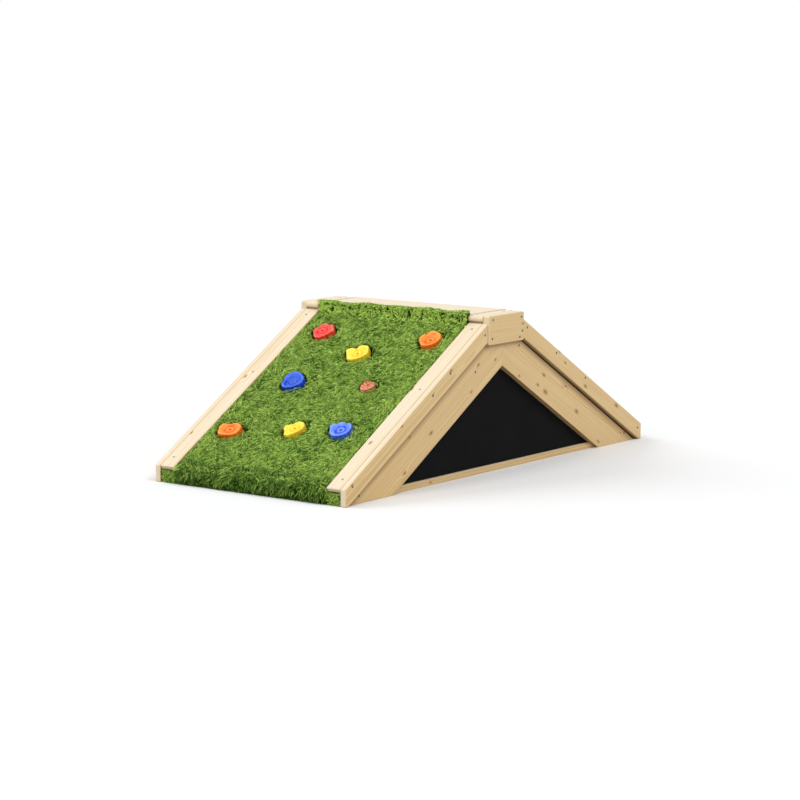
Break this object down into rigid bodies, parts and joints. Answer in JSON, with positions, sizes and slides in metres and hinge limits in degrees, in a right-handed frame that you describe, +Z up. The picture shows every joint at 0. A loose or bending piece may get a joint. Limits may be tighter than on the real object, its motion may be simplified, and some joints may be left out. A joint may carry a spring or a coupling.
{
  "type": "wooden climbing bridge",
  "caption": "Low wooden A-frame climbing bridge with turfed ramps, bolted climbing holds, a narrow top platform and blackboard gables.",
  "frame": {"origin": "on the floor, in the middle of the bridge", "axes": "+X along the walk over the bridge, from the ramp with the holds to the plain ramp; +Y across, to the left of a child who climbs the holds; +Z up"},
  "size_m": [2, 0.91, 0.616],
  "materials": {
    "spruce": "planed, sanded, clear, pale with small brown knots",
    "plywood": "plain sheet, not seen from outside",
    "blackboard": "thin board with matt black chalkboard paint",
    "turf": "long-pile artificial turf in mixed greens",
    "hold_red": "moulded, satin",
    "hold_yellow": "moulded, satin",
    "hold_orange": "moulded, satin",
    "hold_dark_blue": "moulded, satin",
    "hold_coral": "moulded, satin",
    "hold_blue": "moulded, satin",
    "zinc": "bright zinc plated"
  },
  "bodies": {
    "root": {"base_rail_left": "spruce", "base_rail_right": "spruce", "bearer_back": "spruce", "bearer_front": "spruce", "blackboard_left": "blackboard", "blackboard_right": "blackboard", "bolt_blue_crown": "zinc", "bolt_blue_dish": "zinc", "bolt_coral_shell": "zinc", "bolt_orange_block": "zinc", "bolt_orange_wave": "zinc", "bolt_red_flower": "zinc", "bolt_yellow_bean": "zinc", "bolt_yellow_heart": "zinc", "cheek_plate_left": "spruce", "cheek_plate_right": "spruce", "cover_strip_back_left": "spruce", "cover_strip_back_right": "spruce", "cover_strip_front_left": "spruce", "cover_strip_front_right": "spruce", "cross_batten_back_1": "spruce", "cross_batten_back_2": "spruce", "cross_batten_back_3": "spruce", "cross_batten_front_1": "spruce", "cross_batten_front_2": "spruce", "cross_batten_front_3": "spruce", "deck_panel_back": "plywood", "deck_panel_front": "plywood", "foot_board_back": "spruce", "foot_board_front": "spruce", "hold_blue_crown": "hold_blue", "hold_blue_dish": "hold_dark_blue", "hold_coral_shell": "hold_coral", "hold_orange_block": "hold_orange", "hold_orange_wave": "hold_orange", "hold_red_flower": "hold_red", "hold_yellow_bean": "hold_yellow", "hold_yellow_heart": "hold_yellow", "joist_back_left": "spruce", "joist_back_right": "spruce", "joist_front_left": "spruce", "joist_front_right": "spruce", "platform_cap_left": "spruce", "platform_cap_right": "spruce", "platform_plank": "spruce", "rafter_back_left": "spruce", "rafter_back_right": "spruce", "rafter_front_left": "spruce", "rafter_front_right": "spruce", "rail_back_left": "spruce", "rail_back_right": "spruce", "rail_front_left": "spruce", "rail_front_right": "spruce", "ridge_beam": "spruce", "turf_back": "turf", "turf_front": "turf"}
  },
  "joints": []
}
